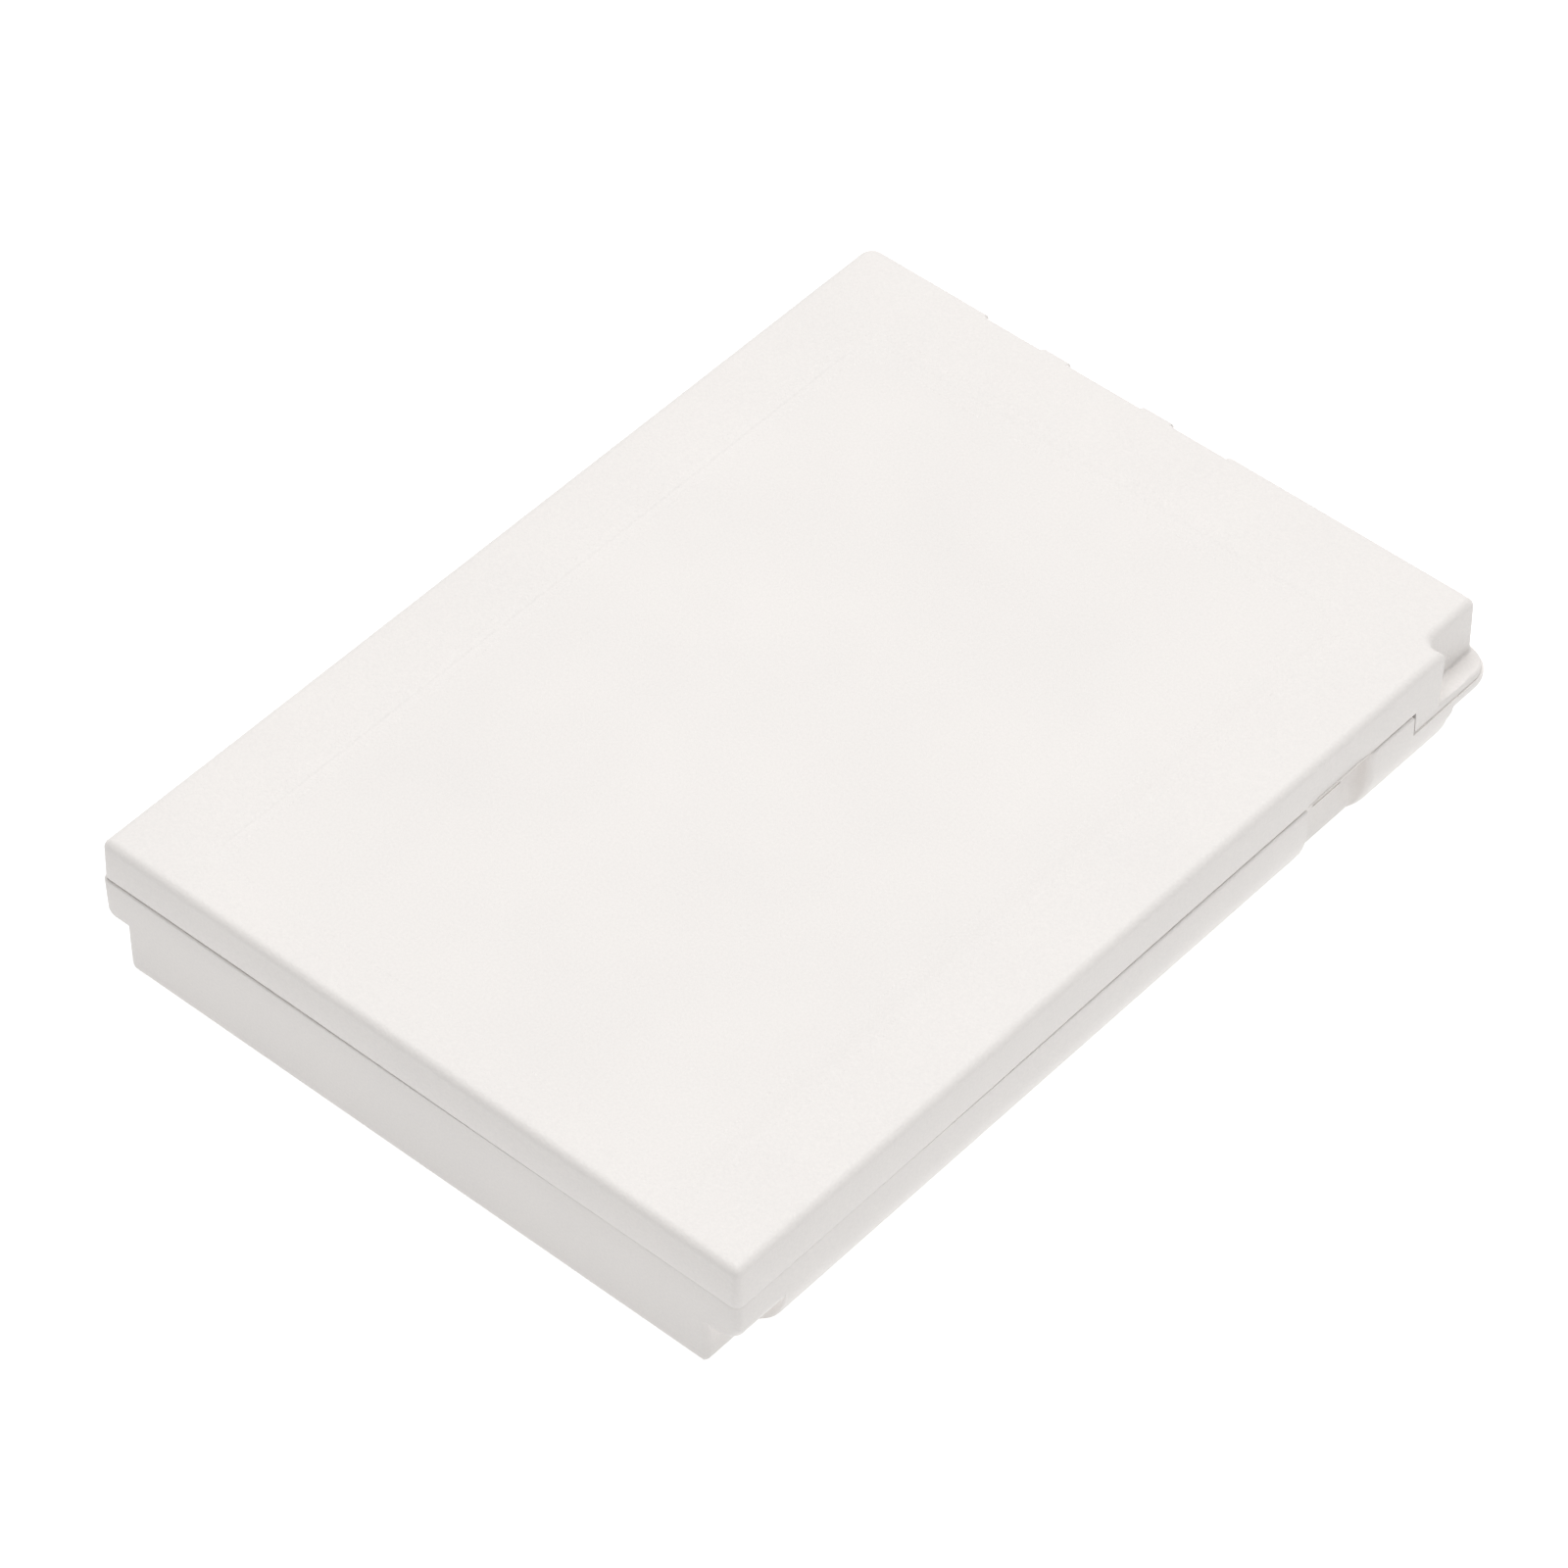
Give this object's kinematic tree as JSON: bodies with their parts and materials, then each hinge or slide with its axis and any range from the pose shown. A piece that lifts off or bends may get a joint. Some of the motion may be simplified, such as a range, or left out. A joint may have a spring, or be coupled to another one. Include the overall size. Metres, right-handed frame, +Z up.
{
  "type": "removable lithium pouch battery pack",
  "caption": "Flat white hard-case battery pack: two welded half shells around a pouch cell and protection board, with contacts at one end, guide rails, a keyed corner and a latch recess.",
  "frame": {"origin": "middle of the underside: the centre of the bounding box in X and Y, and the underside in Z", "axes": "+Y along the pack towards the contact end, +X across it towards the side with the latch recess and keyed corner, +Z up through the top face"},
  "size_m": [0.041, 0.056, 0.0082],
  "materials": {
    "shell_plastic": "warm white moulded ABS with a fine sparked texture",
    "label_film": "blank satin film label",
    "pouch_foil": "satin laminated foil",
    "tab_aluminium": "rolled foil tab",
    "nickel": "rolled nickel strip",
    "sealant_film": "milky polypropylene film",
    "polyimide_tape": "amber polyimide tape",
    "adhesive_tape": "double-sided tissue tape",
    "black_foam": "fine closed-cell foam",
    "insulating_paper": "green barley paper",
    "board_laminate": "green solder mask on glass-epoxy",
    "component_black": "moulded epoxy",
    "tinned_metal": "bright tin",
    "capacitor_ceramic": "fired ceramic",
    "fuse_body": "polymer fuse body",
    "gold_plate": "thin gold plate over nickel"
  },
  "bodies": {
    "root": {"top_cover": "shell_plastic", "bottom_case": "shell_plastic", "bottom_label": "label_film", "pouch_cell": "pouch_foil", "side_seals": "pouch_foil", "terrace_seal": "pouch_foil", "positive_tab": "tab_aluminium", "negative_tab": "nickel", "tab_sealant": "sealant_film", "terrace_tape": "polyimide_tape", "fold_tapes": "polyimide_tape", "cell_tape": "adhesive_tape", "cover_foam": "black_foam", "end_cushion": "black_foam", "insulating_paper": "insulating_paper", "protection_board": "board_laminate", "protection_ic": "component_black", "dual_mosfet": "component_black", "component_leads": "tinned_metal", "chip_resistors": "component_black", "chip_capacitors": "capacitor_ceramic", "thermistor": "component_black", "ptc_device": "fuse_body", "ptc_leads": "nickel", "positive_strip": "nickel", "negative_strip": "nickel", "contact_positive": "gold_plate", "contact_sense": "gold_plate", "contact_negative": "gold_plate", "solder_joints": "tinned_metal"}
  },
  "joints": []
}
